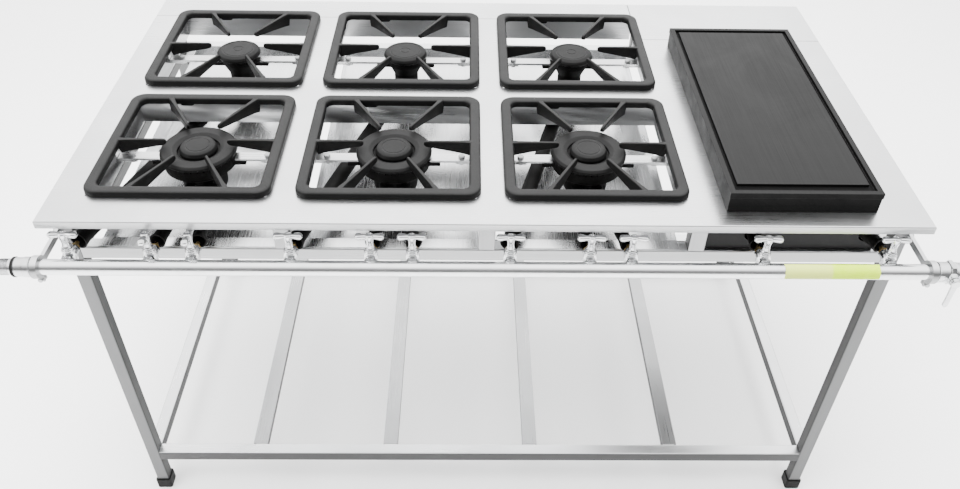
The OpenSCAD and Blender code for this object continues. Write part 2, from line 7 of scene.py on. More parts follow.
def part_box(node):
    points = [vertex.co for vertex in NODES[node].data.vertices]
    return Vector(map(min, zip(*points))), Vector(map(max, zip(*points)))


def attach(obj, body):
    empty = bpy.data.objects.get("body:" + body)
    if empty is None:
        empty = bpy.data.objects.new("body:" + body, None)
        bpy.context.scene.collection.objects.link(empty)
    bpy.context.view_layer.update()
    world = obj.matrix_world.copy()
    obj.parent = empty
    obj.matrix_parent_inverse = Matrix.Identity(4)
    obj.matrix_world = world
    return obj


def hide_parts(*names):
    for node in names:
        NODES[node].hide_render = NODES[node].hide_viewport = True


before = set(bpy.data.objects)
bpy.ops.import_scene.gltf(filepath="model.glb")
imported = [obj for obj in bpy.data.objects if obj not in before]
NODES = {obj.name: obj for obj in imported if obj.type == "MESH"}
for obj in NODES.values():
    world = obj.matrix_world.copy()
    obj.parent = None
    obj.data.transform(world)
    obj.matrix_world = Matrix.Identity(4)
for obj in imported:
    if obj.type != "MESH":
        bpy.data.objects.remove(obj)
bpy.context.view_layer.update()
MM = 0.001
STEEL_TINT = 0.008                # how far stainless steel leans to blue
WELD = 2e-6                       # vertices nearer than this, in metres, are one
MIX_A, MIX_B, MIX_OUT = 6, 7, 2   # a Mix node's colour sockets


# ---------------------------------------------------------------- shader helpers

class Shader:
    """A node material with short calls for the nodes that the surfaces share."""

    def __init__(self, name):
        self.mat = bpy.data.materials.new(name)
        self.mat.use_nodes = True
        self.nt = self.mat.node_tree
        self.bsdf = self.nt.nodes["Principled BSDF"]
        self.coord = self.nt.nodes.new("ShaderNodeTexCoord").outputs["Object"]

    def new(self, kind, **props):
        node = self.nt.nodes.new(kind)
        for key, value in props.items():
            setattr(node, key, value)
        return node

    def put(self, socket, value):
        if isinstance(value, bpy.types.NodeSocket):
            self.nt.links.new(value, socket)
        else:
            socket.default_value = value

    def scaled(self, sx, sy, sz):
        """Object coordinates stretched along each axis."""
        node = self.new("ShaderNodeMapping")
        self.put(node.inputs["Vector"], self.coord)
        node.inputs["Scale"].default_value = (sx, sy, sz)
        return node.outputs["Vector"]

    def noise(self, vector, scale, detail, rough, warp=0.0):
        node = self.new("ShaderNodeTexNoise")
        self.put(node.inputs["Vector"], vector)
        node.inputs["Scale"].default_value = scale
        node.inputs["Detail"].default_value = detail
        node.inputs["Roughness"].default_value = rough
        node.inputs["Distortion"].default_value = warp
        return node.outputs["Fac"]

    def cells(self, vector, scale):
        node = self.new("ShaderNodeTexVoronoi")
        self.put(node.inputs["Vector"], vector)
        node.inputs["Scale"].default_value = scale
        return node.outputs["Distance"]

    def span(self, value, low, high, to_low, to_high):
        """Maps low..high to to_low..to_high and stops at both ends."""
        node = self.new("ShaderNodeMapRange")
        self.put(node.inputs["Value"], value)
        node.inputs["From Min"].default_value = low
        node.inputs["From Max"].default_value = high
        node.inputs["To Min"].default_value = to_low
        node.inputs["To Max"].default_value = to_high
        return node.outputs["Result"]

    def math(self, op, a, b=0.0):
        node = self.new("ShaderNodeMath", operation=op)
        self.put(node.inputs[0], a)
        self.put(node.inputs[1], b)
        return node.outputs["Value"]

    def mix(self, fac, a, b):
        node = self.new("ShaderNodeMix", data_type="RGBA")
        self.put(node.inputs[0], fac)
        self.put(node.inputs[MIX_A], a)
        self.put(node.inputs[MIX_B], b)
        return node.outputs[MIX_OUT]

    def bump(self, height, strength, distance, normal=None):
        node = self.new("ShaderNodeBump")
        node.inputs["Strength"].default_value = strength
        node.inputs["Distance"].default_value = distance
        self.put(node.inputs["Height"], height)
        if normal is not None:
            self.put(node.inputs["Normal"], normal)
        return node.outputs["Normal"]

    def facing(self, axis):
        """How far the surface faces along one axis of the object."""
        parts = self.new("ShaderNodeSeparateXYZ")
        self.put(parts.inputs[0], self.new("ShaderNodeTexCoord").outputs["Normal"])
        return parts.outputs[axis]

    def edge(self, radius):
        """1 where faces meet at an angle and 0 on flat places."""
        bevel = self.new("ShaderNodeBevel", samples=4)
        bevel.inputs["Radius"].default_value = radius
        geometry = self.new("ShaderNodeNewGeometry")
        dot = self.new("ShaderNodeVectorMath", operation="DOT_PRODUCT")
        self.put(dot.inputs[0], bevel.outputs["Normal"])
        self.put(dot.inputs[1], geometry.outputs["Normal"])
        return self.span(dot.outputs["Value"], 0.97, 0.72, 0.0, 1.0)

    def set(self, **values):
        """Sets the main shader's inputs and returns the material."""
        for key, value in values.items():
            self.put(self.bsdf.inputs[key.replace("_", " ")], value)
        return self.mat


def grey(v, tint=0.0):
    """A grey that leans to blue by tint."""
    return (v * (1 - tint), v, v * (1 + tint), 1.0)


def brushed(name, value, rough, along, dirt, top=1.0, inner_shade=None):
    """Brushed sheet or tube, its grain along axis number along.

    Upward faces are top times as pale, a painted highlight for light from above. Given the last argument,
    the flanks that face the object's middle plane take that dark tone and are mostly not metallic, a painted
    shade.
    """
    s = Shader(name)
    fine = [700.0, 700.0, 700.0]
    fine[along] = 6.0
    broad = [70.0, 70.0, 70.0]
    broad[along] = 1.3
    grain = s.noise(s.scaled(*fine), 1.0, 3.0, 0.6)
    streak = s.noise(s.scaled(*broad), 1.0, 3.0, 0.5)
    cloud = s.noise(s.coord, 5.0, 5.0, 0.6, 0.4)
    spots = s.noise(s.coord, 60.0, 4.0, 0.7)
    streaks = s.span(streak, 0.3, 0.7, 0.0, 1.0)
    tone = s.mix(streaks, grey(value * (1 - dirt), STEEL_TINT), grey(value, STEEL_TINT))
    tone = s.mix(s.span(cloud, 0.45, 0.75, 0.0, dirt * 2.2), tone, grey(value * 0.72, STEEL_TINT))
    tone = s.mix(s.span(spots, 0.66, 0.8, 0.0, 0.25), tone, grey(value * 0.8, STEEL_TINT))
    shine = 1.0
    # Painted shade: flanks facing the middle plane are darkened and made less metallic.
    if inner_shade is not None:
        place = s.new("ShaderNodeSeparateXYZ")
        s.put(place.inputs[0], s.coord)
        outward = s.math("MULTIPLY", s.facing("X"), s.math("SIGN", place.outputs["X"]))
        painted_flank_shade = s.span(outward, -0.4, -0.9, 0.0, 1.0)
        tone = s.mix(painted_flank_shade, tone, s.mix(streaks, grey(inner_shade), grey(inner_shade * 1.6)))
        shine = s.math("SUBTRACT", 1.0, s.math("MULTIPLY", painted_flank_shade, 0.85))
        s.bsdf.inputs["Specular IOR Level"].default_value = 0.04
    # Painted highlight: upward faces made paler, as if lit from above.
    if top > 1.0:
        upward = s.span(s.facing("Z"), 0.5, 0.9, 0.0, 1.0)
        painted_top_light = s.mix(s.span(cloud, 0.3, 0.7, 0.0, 1.0),
                       grey(value * top, STEEL_TINT), grey(value * top * 0.9, STEEL_TINT))
        tone = s.mix(upward, tone, painted_top_light)
    r = s.math("ADD", s.span(grain, 0.2, 0.8, rough - 0.07, rough + 0.07),
               s.span(cloud, 0.3, 0.7, -0.03, 0.05))
    h = s.math("ADD", grain, s.math("MULTIPLY", streak, 0.6))
    return s.set(Base_Color=tone, Metallic=shine, Roughness=r, Normal=s.bump(h, 0.10, 0.0002))


def plated(name, value, rough, edge_shade=0.0):
    """Bright plating over a slightly uneven casting, with smudges and, when the last argument is above 0,
    painted shade darkening its edges and creases.
    """
    s = Shader(name)
    wave = s.noise(s.coord, 90.0, 2.0, 0.5)
    smudge = s.noise(s.coord, 34.0, 5.0, 0.65, 0.8)
    pits = s.noise(s.coord, 520.0, 2.0, 0.6)
    tone = s.mix(s.span(smudge, 0.42, 0.72, 0.0, 0.45), grey(value, 0.01), grey(value * 0.74, 0.004))
    # Painted shade: edges and creases darkened where shade would fall, broken up by the smudge pattern.
    if edge_shade > 0.0:
        painted_crease_shade = s.math("MULTIPLY", s.edge(0.0022), s.span(smudge, 0.25, 0.6, edge_shade, edge_shade * 0.6))
        tone = s.mix(painted_crease_shade, tone, grey(0.035))
    r = s.span(smudge, 0.3, 0.75, rough, rough + 0.16)
    n = s.bump(wave, 0.10, 0.0006)
    n = s.bump(s.span(pits, 0.62, 0.7, 1.0, 0.0), 0.18, 0.0002, n)
    return s.set(Base_Color=tone, Metallic=1.0, Roughness=r, Normal=n)


def casting(name, value, rough, grit, wear_and_glint, gloss, top=1.0, brown=0.0):
    """Rough cast iron: sand texture, uneven tone, edges paler for wear and a painted highlight, and upward
    faces top times as pale for dust and rubbing and, mostly, painted light from above.
    """
    s = Shader(name)
    s.bsdf.inputs["Specular IOR Level"].default_value = gloss
    info = s.new("ShaderNodeObjectInfo")
    shift = s.new("ShaderNodeVectorMath", operation="ADD")
    s.put(shift.inputs[0], s.coord)
    s.put(shift.inputs[1], info.outputs["Random"])
    s.coord = shift.outputs["Vector"]
    sand = s.noise(s.coord, 520.0, 4.0, 0.65)
    pits = s.cells(s.coord, 300.0)
    cloud = s.noise(s.coord, 26.0, 5.0, 0.6, 0.6)
    dust = s.noise(s.coord, 9.0, 4.0, 0.6)
    base = (value * (1 + brown), value, value * (1 - brown), 1.0)
    pale = (value * 1.75 * (1 + brown), value * 1.7, value * 1.65, 1.0)
    tone = s.mix(s.span(cloud, 0.35, 0.7, 0.0, 0.75), base, pale)
    tone = s.mix(s.span(sand, 0.6, 0.78, 0.0, 0.35), tone, grey(value * 0.35))
    tone = s.mix(s.span(dust, 0.5, 0.8, 0.0, 0.25), tone, grey(value * 2.4))
    # Upward faces paler: partly dust and rubbing, mostly painted light from above.
    upward = s.span(s.facing("Z"), 0.55, 0.98, 0.0, 1.0)
    rubbed_and_lit_top = s.math("MULTIPLY", upward, s.span(cloud, 0.2, 0.7, 1.0, 0.7))
    dust_and_top_light = s.mix(s.span(sand, 0.32, 0.66, 0.0, 1.0), grey(value * top * 0.62), grey(value * top * 1.30))
    dust_and_top_light = s.mix(s.span(dust, 0.35, 0.7, 0.0, 0.5), dust_and_top_light, grey(value * top * 1.35))
    tone = s.mix(rubbed_and_lit_top, tone, dust_and_top_light)
    # Edges paler: partly wear, partly a painted highlight along them.
    tone = s.mix(s.math("MULTIPLY", s.edge(0.0014), s.span(cloud, 0.3, 0.6, 0.25, 1.0)), tone, grey(wear_and_glint))
    h = s.math("ADD", sand, s.math("MULTIPLY", s.span(pits, 0.0, 0.5, 0.0, 1.0), 0.5))
    r = s.span(cloud, 0.3, 0.7, rough + 0.06, rough - 0.08)
    return s.set(Base_Color=tone, Metallic=0.0, Roughness=r, Normal=s.bump(h, grit, 0.0005))


def ground_plate(name, value):
    """Ground cooking plate: fine lengthwise marks, seasoned patches and dark spots."""
    s = Shader(name)
    marks = s.noise(s.scaled(620.0, 7.0, 620.0), 1.0, 3.0, 0.6)
    cloud = s.noise(s.coord, 7.0, 6.0, 0.62, 0.8)
    spots = s.noise(s.coord, 70.0, 4.0, 0.7)
    tone = s.mix(s.span(cloud, 0.3, 0.72, 0.0, 1.0), grey(value * 0.80), grey(value * 1.18))
    tone = s.mix(s.span(marks, 0.35, 0.7, 0.0, 0.30), tone, grey(value * 0.62))
    tone = s.mix(s.span(spots, 0.62, 0.75, 0.0, 0.35), tone, grey(value * 0.55))
    tone = s.mix(s.edge(0.0016), tone, grey(value * 1.9))
    r = s.math("ADD", s.span(cloud, 0.3, 0.7, 0.40, 0.56), s.span(marks, 0.3, 0.7, -0.04, 0.05))
    n = s.bump(marks, 0.14, 0.0003)
    n = s.bump(spots, 0.10, 0.0006, n)
    s.bsdf.inputs["Specular IOR Level"].default_value = 0.10
    return s.set(Base_Color=tone, Metallic=0.0, Roughness=r, Normal=n)


def painted(name, value, rough):
    """Matte black sheet with dust, orange peel and paler edges."""
    s = Shader(name)
    peel = s.noise(s.coord, 420.0, 2.0, 0.5)
    cloud = s.noise(s.coord, 11.0, 5.0, 0.6, 0.5)
    tone = s.mix(s.span(cloud, 0.4, 0.75, 0.0, 0.6), grey(value), grey(value * 2.2))
    tone = s.mix(s.math("MULTIPLY", s.edge(0.0012), 0.6), tone, grey(0.05))
    s.bsdf.inputs["Specular IOR Level"].default_value = 0.12
    return s.set(Base_Color=tone, Metallic=0.0, Roughness=s.span(cloud, 0.3, 0.7, rough, rough + 0.15),
                 Normal=s.bump(peel, 0.16, 0.0003))


def turned_brass(name):
    """Turned brass with fine rings and tarnish."""
    s = Shader(name)
    rings = s.noise(s.scaled(60.0, 1600.0, 60.0), 1.0, 2.0, 0.5)
    cloud = s.noise(s.coord, 120.0, 4.0, 0.6)
    tone = s.mix(s.span(cloud, 0.35, 0.7, 0.0, 1.0), (0.78, 0.58, 0.28, 1), (0.55, 0.38, 0.16, 1))
    return s.set(Base_Color=tone, Metallic=1.0, Roughness=s.span(cloud, 0.3, 0.7, 0.22, 0.42),
                 Normal=s.bump(rings, 0.10, 0.0002))


def moulded_rubber(name):
    """Matte black rubber, scuffed grey in places."""
    s = Shader(name)
    grit = s.noise(s.coord, 700.0, 2.0, 0.6)
    scuff = s.noise(s.coord, 48.0, 5.0, 0.65, 0.6)
    tone = s.mix(s.span(scuff, 0.55, 0.75, 0.0, 0.7), grey(0.006), grey(0.026))
    tone = s.mix(s.math("MULTIPLY", s.edge(0.0015), 0.5), tone, grey(0.045))
    s.bsdf.inputs["Specular IOR Level"].default_value = 0.15
    return s.set(Base_Color=tone, Roughness=s.span(scuff, 0.3, 0.7, 0.55, 0.75),
                 Normal=s.bump(grit, 0.25, 0.0003))


def printed_film(name, x_pale, x_strong):
    """Blank film strip: pale left of x_pale, stronger yellow-green right of x_strong."""
    s = Shader(name)
    xyz = s.new("ShaderNodeSeparateXYZ")
    s.put(xyz.inputs[0], s.coord)
    across = s.span(xyz.outputs["X"], x_pale, x_strong, 0.0, 1.0)
    mottle = s.noise(s.coord, 60.0, 4.0, 0.6)
    tone = s.mix(across, (0.52, 0.60, 0.14, 1), (0.48, 0.70, 0.0, 1))
    tone = s.mix(s.span(mottle, 0.4, 0.7, 0.0, 0.25), tone, (0.62, 0.72, 0.10, 1))
    creases = s.noise(s.scaled(30.0, 260.0, 260.0), 1.0, 3.0, 0.6)
    s.bsdf.inputs["Specular IOR Level"].default_value = 0.12
    return s.set(Base_Color=tone, Roughness=s.span(mottle, 0.3, 0.7, 0.28, 0.45),
                 Normal=s.bump(creases, 0.12, 0.0003))


# Each top= below paints a highlight on upward faces, and each flank tone given last paints shade on the
# inner flanks.
top_steel = brushed("stainless_x", 0.46, 0.30, 0, 0.10, top=1.80)
tray_steel = brushed("stainless_tray", 0.90, 0.24, 1, 0.08)
tube_x = brushed("tube_x", 0.060, 0.30, 0, 0.10, top=14.0)
tube_y = brushed("tube_y", 0.20, 0.30, 1, 0.10, top=4.0, inner_shade=0.026)
tube_z = brushed("tube_z", 0.13, 0.34, 2, 0.10, inner_shade=0.028)
upper_steel = brushed("upper_steel", 0.34, 0.30, 0, 0.10, top=2.3)
post_steel = brushed("post_steel", 0.30, 0.32, 2, 0.10, inner_shade=0.010)
slat_steel = brushed("slat_steel", 0.34, 0.30, 1, 0.10, top=1.15, inner_shade=0.028)
bar_steel = brushed("bar_steel", 0.72, 0.28, 0, 0.12)
# The last number given to plated sets the painted shade in edges and creases.
chrome = plated("bright_chrome", 0.72, 0.10, 0.85)
pipe_chrome = plated("pipe_chrome", 0.88, 0.12)
bolt_zinc = plated("bolt_zinc", 0.42, 0.28, 0.6)
# Each top= below pales upward faces for dust and rubbing and, mostly, as painted light from above; the edge
# tone is wear with a painted highlight.
grate_iron = casting("grate_iron", 0.0032, 0.50, grit=0.45, wear_and_glint=0.060, gloss=0.12, top=4.1)
cap_iron = casting("cap_iron", 0.0028, 0.48, grit=0.30, wear_and_glint=0.040, gloss=0.10, top=2.8)
burner_iron = casting("burner_iron", 0.003, 0.60, grit=0.55, wear_and_glint=0.010, gloss=0.06, top=2.0, brown=0.05)
griddle_side = casting("griddle_side", 0.0020, 0.52, grit=0.34, wear_and_glint=0.040, gloss=0.08, top=5.0)
griddle_gutter = casting("griddle_gutter", 0.0024, 0.60, grit=0.30, wear_and_glint=0.008, gloss=0.05)
griddle_face = ground_plate("griddle_face", 0.0075)
black_sheet = painted("black_sheet", 0.005, 0.42)
brass = turned_brass("turned_brass")
rubber = moulded_rubber("foot_rubber")


# ---------------------------------------------------------------- mesh helpers

def shaded_mesh(name, bm, materials, angle):
    """Turns bm into a mesh with smooth faces, and sharp edges where it folds by more than angle."""
    bmesh.ops.recalc_face_normals(bm, faces=bm.faces)
    for f in bm.faces:
        f.smooth = True
    mesh = bpy.data.meshes.new(name)
    bm.to_mesh(mesh)
    bm.free()
    mesh.set_sharp_from_angle(angle=math.radians(angle))
    for m in materials:
        mesh.materials.append(m)
    return mesh


def even_shading(obj):
    obj.modifiers.new("shade", "WEIGHTED_NORMAL").keep_sharp = True


def hang(name, mesh, body, nodes, where=None, weighted=True):
    """Shows the mesh as a piece on its CAD body, in place of the nodes."""
    obj = bpy.data.objects.new(name, mesh)
    bpy.context.scene.collection.objects.link(obj)
    if weighted:
        even_shading(obj)
    if where is not None:
        obj.matrix_world = where
    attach(obj, body)
    if nodes:
        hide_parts(*nodes)
    return obj


def finish_mesh(name, bm, materials, body, nodes=(), angle=32.0, weighted=True):
    """Makes one piece from bm."""
    return hang(name, shaded_mesh(name, bm, materials, angle), body, nodes, weighted=weighted)


def repeat_mesh(names, bm, material, angle, where):
    """Pieces that share one mesh, one for each named node and body, placed by where(name)."""
    mesh = shaded_mesh(names[0] + "_seen", bm, [material], angle)
    for name in names:
        hang(name + "_seen", mesh, name, [name], where(name))


def solids(name):
    """The CAD node as a welded bmesh with its flat faces in one piece each."""
    bm = bmesh.new()
    bm.from_mesh(NODES[name].data)
    bmesh.ops.remove_doubles(bm, verts=bm.verts, dist=WELD)
    bmesh.ops.dissolve_limit(bm, angle_limit=math.radians(0.5), verts=bm.verts, edges=bm.edges)
    return bm


def fold(e):
    """True for an edge whose two faces meet at more than 40 degrees."""
    return len(e.link_faces) == 2 and e.calc_face_angle(0.0) > math.radians(40)


def refined(nodes, mat, width, segments=2):
    """CAD nodes of the fixed body, their sharp edges rounded off by width."""
    for n in nodes:
        bm = solids(n)
        if width:
            bmesh.ops.bevel(bm, geom=[e for e in bm.edges if fold(e)], offset=width, segments=segments,
                            profile=0.5, affect="EDGES", clamp_overlap=True)
        finish_mesh(n + "_seen", bm, [mat], "range", [n])


def lathe(bm, profile, at, axis, segs):
    """Turns (radius, height) points in mm round an axis through at, and caps the ends."""
    rows = []
    for r, h in profile:
        row = []
        for k in range(segs if r > 1e-6 else 1):
            a = 2 * math.pi * k / segs
            x, y = r * math.cos(a), r * math.sin(a)
            p = {"Z": (x, y, h), "Y": (x, h, y), "X": (h, x, y)}[axis]
            row.append(bm.verts.new(Vector(at) + MM * Vector(p)))
        rows.append(row)
    for a, b in zip(rows, rows[1:]):
        for k in range(segs):
            j = (k + 1) % segs
            if len(a) == 1:
                bm.faces.new((a[0], b[k], b[j]))
            elif len(b) == 1:
                bm.faces.new((a[k], a[j], b[0]))
            else:
                bm.faces.new((a[k], a[j], b[j], b[k]))
    for row in (rows[0], rows[-1]):
        if len(row) > 1:
            bm.faces.new(row)
    return bm


def close_ring(bm):
    """Where a lathed profile ends at its first point, drops the two end caps and welds the seam."""
    caps = [f for f in bm.faces if len(f.verts) > 8]
    bmesh.ops.delete(bm, geom=caps, context="FACES_ONLY")
    bmesh.ops.remove_doubles(bm, verts=bm.verts, dist=WELD)


def rounded(points, r, steps=3):
    """Rounds the corners of an open (radius, height) profile."""
    out = [points[0]]
    for a, p, b in zip(points, points[1:], points[2:]):
        p2, u, v = Vector(p), Vector(a) - Vector(p), Vector(b) - Vector(p)
        t = min(r, u.length * 0.45, v.length * 0.45)
        if t < 1e-4:
            out.append(p)
            continue
        u, v = u.normalized() * t, v.normalized() * t
        for k in range(steps + 1):
            w = k / steps
            out.append(tuple(p2 + u * (1 - w) ** 2 + v * w ** 2))
    out.append(points[-1])
    return out


def loft(bm, sections, ring=False):
    """Skins closed sections, each a list of as many points in metres, and closes the ends or the ring."""
    rows = [[bm.verts.new(p) for p in s] for s in sections]
    if ring:
        rows.append(rows[0])
    for a, b in zip(rows, rows[1:]):
        for k in range(len(a)):
            j = (k + 1) % len(a)
            bm.faces.new((a[k], a[j], b[j], b[k]))
    if not ring:
        bm.faces.new(rows[0])
        bm.faces.new(rows[-1])


def pad(w, h, r, steps=3, taper=1.0):
    """Outline of a rounded rectangle w by h in mm, centred; taper narrows its top."""
    r = min(r, w * 0.49, h * 0.49)
    out = []
    for cx, cy, a0 in ((1, -1, -90), (1, 1, 0), (-1, 1, 90), (-1, -1, 180)):
        for k in range(steps + 1):
            a = math.radians(a0 + 90 * k / steps)
            x, y = cx * (w / 2 - r) + r * math.cos(a), cy * (h / 2 - r) + r * math.sin(a)
            s = 1 + (taper - 1) * (y / h + 0.5)
            out.append((x * s, y))
    return out


def hexagon(bm, af, h0, h1, at, axis, chamfer=0.9):
    """Nut or hexagon bar with its ends chamfered, between two heights in mm along an axis."""
    r = af / math.sqrt(3)
    prof = [(r - chamfer * 1.4, h0), (r, h0 + chamfer), (r, h1 - chamfer), (r - chamfer * 1.4, h1)]
    lathe(bm, prof, at, axis, 6)


def united(first, second):
    """One closed mesh from two overlapping ones."""
    objs = []
    for bm in (first, second):
        bmesh.ops.recalc_face_normals(bm, faces=bm.faces)
        me = bpy.data.meshes.new("part")
        bm.to_mesh(me)
        bm.free()
        o = bpy.data.objects.new("part", me)
        bpy.context.scene.collection.objects.link(o)
        objs.append(o)
    mod = objs[0].modifiers.new("join", "BOOLEAN")
    mod.operation = "UNION"
    mod.solver = "EXACT"
    mod.use_self = True
    mod.object = objs[1]
    bpy.context.view_layer.update()
    done = objs[0].evaluated_get(bpy.context.evaluated_depsgraph_get())
    bm = bmesh.new()
    bm.from_mesh(done.data)
    for o in objs:
        bpy.data.objects.remove(o)
    bmesh.ops.remove_doubles(bm, verts=bm.verts, dist=1e-6)
    return bm


def middle(name):
    """The middle of a CAD node's box."""
    lo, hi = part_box(name)
    return (lo + hi) / 2


# ---------------------------------------------------------------- tabletop

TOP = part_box("top_left_rail")[1].z
LIP, WALL, SEAM = 14 * MM, 46 * MM, 5 * MM   # depth of the outer lip, a cell's wall and a seam's fold
SHEET, FOLD = 1.5 * MM, 2.2 * MM             # sheet thickness and fold radius
HAIR = 0.25 * MM                             # gap between two sheets
ROW = (1, 2, 3)                              # the burner columns, left to right

top_lo, top_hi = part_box("top_front_rail")
rear_lo, rear_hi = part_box("top_rear_rail")
panel_lo, panel_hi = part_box("griddle_rear_panel")
bridge_lo, bridge_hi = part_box("row_bridges")
row_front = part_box("top_left_rail")[0].y
well_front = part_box("top_right_rail")[0].y
well_lo, well_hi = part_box("top_dividers")[1].x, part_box("top_right_rail")[0].x
side_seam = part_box("top_right_rail")[1].y
half_cell = bridge_hi.x - middle("inner_cap_3").x
cells = []
for n in ROW:
    c = middle("inner_cap_%d" % n).x
    cells.append((c - half_cell, c + half_cell))


def on(value, target):
    """True where two coordinates are equal but for rounding."""
    return abs(value - target) < 0.2 * MM


def flat_sheet(xs, ys, solid):
    """A flat sheet at table height, made of the grid cells whose middle is solid."""
    xs, ys = (sorted(set(round(v, 5) for v in vs)) for vs in (xs, ys))
    bm = bmesh.new()
    grid = {}
    for x0, x1 in zip(xs, xs[1:]):
        for y0, y1 in zip(ys, ys[1:]):
            if not solid((x0 + x1) / 2, (y0 + y1) / 2):
                continue
            quad = []
            for key in ((x0, y0), (x1, y0), (x1, y1), (x0, y1)):
                if key not in grid:
                    grid[key] = bm.verts.new((*key, TOP))
                quad.append(grid[key])
            bm.faces.new(quad)
    return bm


def main_solid(x, y):
    """Where the main sheet is: all but the rear panel's corner, the cells and the griddle's well."""
    if y > side_seam and x > cells[-1][1]:
        return False
    in_cell = y > row_front and not bridge_lo.y < y < bridge_hi.y and any(a < x < b for a, b in cells)
    return not in_cell and not (well_lo < x < well_hi and y > well_front)


def fold_down(bm, depth_of):
    """Turns the sheet's free edges down, each to its own depth, and returns the folds."""
    rim = [e for e in bm.edges if len(e.link_faces) == 1]
    lower = {}
    for e in rim:
        a, b = e.verts
        depth = depth_of((a.co + b.co) / 2)
        pair = []
        for v in (a, b):
            key = (v, round(depth, 4))
            if key not in lower:
                lower[key] = bm.verts.new(v.co - Vector((0, 0, depth)))
            pair.append(lower[key])
        bm.faces.new((a, b, pair[1], pair[0]))
    return rim


def build_sheet(name, bm, depth_of, nodes):
    """Folds the free edges of a flat sheet down, rounds the folds and gives it thickness."""
    bmesh.ops.recalc_face_normals(bm, faces=bm.faces)
    if bm.faces[:][0].normal.z < 0:
        bmesh.ops.reverse_faces(bm, faces=bm.faces)
    rim = fold_down(bm, depth_of)
    bmesh.ops.recalc_face_normals(bm, faces=bm.faces)
    up = [f for f in bm.faces if on(f.calc_center_median().z, TOP)]
    if up[0].normal.z < 0:
        bmesh.ops.reverse_faces(bm, faces=bm.faces)
    bmesh.ops.bevel(bm, geom=rim, offset=FOLD, segments=4, profile=0.5, affect="EDGES")
    flat = [e for e in bm.edges if len(e.link_faces) == 2 and e.calc_face_angle(1.0) < 0.001]
    bmesh.ops.dissolve_edges(bm, edges=[e for e in flat if all(on(v.co.z, TOP) for v in e.verts)])
    obj = finish_mesh(name, bm, [top_steel], "range", nodes, weighted=False)
    sol = obj.modifiers.new("sheet", "SOLIDIFY")
    sol.thickness = SHEET
    sol.offset = -1.0
    sol.use_even_offset = True
    even_shading(obj)


def main_depth(p):
    if on(p.y, top_lo.y) or on(p.x, top_lo.x) or on(p.x, top_hi.x):
        return LIP
    if on(p.y, rear_lo.y) or (on(p.y, side_seam) and p.x > middle("top_posts").x):
        return SEAM
    return WALL


def rear_depth(p):
    if on(p.y, rear_hi.y) or on(p.x, rear_lo.x):
        return LIP
    if on(p.x, rear_hi.x) or not any(a < p.x < b for a, b in cells):
        return SEAM
    return WALL


def panel_depth(p):
    if on(p.y, panel_hi.y) or on(p.x, panel_hi.x):
        return LIP
    return WALL if on(p.y, panel_lo.y) else SEAM


cell_sides = [x for cell in cells for x in cell]
build_sheet("tabletop_seen",
            flat_sheet([top_lo.x, *cell_sides, panel_lo.x, well_lo, well_hi, top_hi.x],
                       [top_lo.y, well_front, row_front, bridge_lo.y, bridge_hi.y, side_seam, rear_lo.y],
                       main_solid),
            main_depth,
            ["top_front_rail", "top_left_rail", "top_right_rail", "top_dividers", "row_bridges"])
build_sheet("rear_rail_seen",
            flat_sheet([rear_lo.x, *cell_sides], [rear_lo.y + HAIR, rear_hi.y], lambda x, y: True),
            rear_depth, ["top_rear_rail"])
build_sheet("griddle_rear_seen",
            flat_sheet([panel_lo.x + HAIR, well_lo, well_hi, panel_hi.x],
                       [panel_lo.y, side_seam + HAIR, panel_hi.y],
                       lambda x, y: y > side_seam + HAIR or well_lo < x < well_hi),
            panel_depth, ["griddle_rear_panel"])


# ---------------------------------------------------------------- base frame

refined(["front_legs", "rear_legs"], tube_z, 0.5 * MM)
refined(["upper_front_rail", "upper_rear_rail"], upper_steel, 0.0)
refined(["shelf_cross_rails"], tube_x, 0.0)
refined(["upper_side_rails", "shelf_side_rails"], tube_y, 0.0)
refined(["shelf_slats"], slat_steel, 0.6 * MM)
refined(["top_posts"], post_steel, 0.4 * MM)
refined(["foot_caps"], rubber, 1.6 * MM, 3)
refined(["drip_trays"], tray_steel, 0.3 * MM, 1)
refined(["support_bars"], bar_steel, 0.6 * MM)
refined(["bar_end_angles"], bar_steel, 0.5 * MM)
refined(["pipe_brackets"], upper_steel, 0.7 * MM)
refined(["griddle_burner_box"], black_sheet, 0.4 * MM, 1)
refined(["hex_bolts"], bolt_zinc, 0.5 * MM)
refined(["front_burner_bodies", "rear_burner_bodies", "rear_mixer_tubes", "griddle_tube_burners"],
        burner_iron, 0.0)
refined(["injectors"], brass, 0.0)


# ---------------------------------------------------------------- burner caps

def capped(name, outline, grooves):
    """A turned cap from its (radius, height) outline, with a shallow ring cut at each groove radius."""
    c = middle(name)
    top = max(h for _, h in outline)
    foot = top - 0.7
    cut = rounded(outline, 1.6, 4)
    for g in grooves:
        cut[-1:-1] = [(g + 1.1, top), (g + 0.5, foot), (g - 0.5, foot), (g - 1.1, top)]
    bm = lathe(bmesh.new(), cut, (c.x, c.y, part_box(name)[0].z), "Z", 96)
    finish_mesh(name + "_seen", bm, [cap_iron], name, [name], angle=28)


REAR_CAP = [(0, 0), (26, 0), (26, 5), (42.5, 5), (43.5, 9), (40.5, 14), (33.5, 17), (0, 17)]
INNER_CAP = [(0, 0), (20, 0), (20, 4), (31.5, 4), (32.5, 9), (29.5, 15), (24.5, 17), (0, 17)]
RING_CAP = [(36, 0), (65.5, 0), (65.5, 4), (61.5, 8), (44, 8), (36, 4), (36, 0)]
for n in ROW:
    capped("rear_cap_%d" % n, REAR_CAP, (30, 9))
    capped("inner_cap_%d" % n, INNER_CAP, (20,))

bm = bmesh.new()
for n in ROW:
    c = middle("inner_cap_%d" % n)
    lathe(bm, rounded(RING_CAP, 1.3, 4), (c.x, c.y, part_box("front_ring_caps")[0].z), "Z", 128)
close_ring(bm)
finish_mesh("front_ring_caps_seen", bm, [cap_iron], "range", ["front_ring_caps"], angle=28)


# ---------------------------------------------------------------- grates

